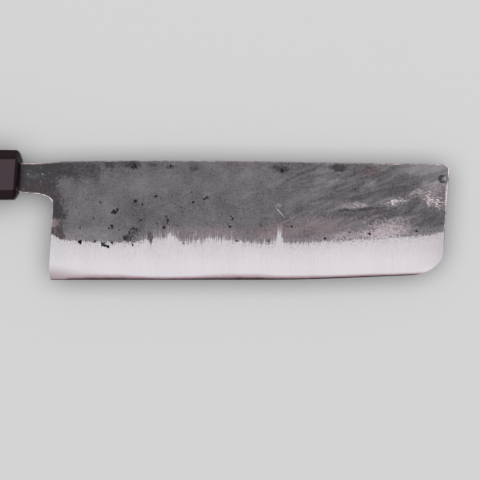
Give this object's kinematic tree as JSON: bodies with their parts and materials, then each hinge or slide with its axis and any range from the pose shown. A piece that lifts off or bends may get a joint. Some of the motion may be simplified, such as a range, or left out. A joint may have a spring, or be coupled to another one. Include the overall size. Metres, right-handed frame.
{
  "type": "nakiri knife",
  "caption": "Vegetable knife with a nearly straight edge, blunt rounded tip, forge-dark flats over bright ground bevels, and a tapering octagonal wooden handle with a dark ferrule.",
  "frame": {"origin": "under the middle of the knife as it lies on its left-hand side: centre of the bounding box in X and Y, and the lowest point of the handle in Z", "axes": "+X along the knife from the butt to the tip, +Y from the cutting edge to the spine, +Z out of the right-hand face of the blade"},
  "size_m": [0.3074, 0.0554, 0.0206],
  "materials": {
    "core_steel": "hard carbon steel, ground and honed, faintly browned",
    "cladding_iron": "soft iron with black forge scale on the flats and a fine brushed bevel",
    "ferrule_wood": "dark resin-soaked laminated wood, polished",
    "grip_wood": "rosewood, sanded fine and oiled",
    "dowel_wood": "plain turned hardwood",
    "sealant": "black sealing compound, matt"
  },
  "bodies": {
    "root": {"core_steel": "core_steel", "cladding_right": "cladding_iron", "cladding_left": "cladding_iron", "ferrule": "ferrule_wood", "grip": "grip_wood", "dowel": "dowel_wood", "neck_seal": "sealant"}
  },
  "joints": []
}
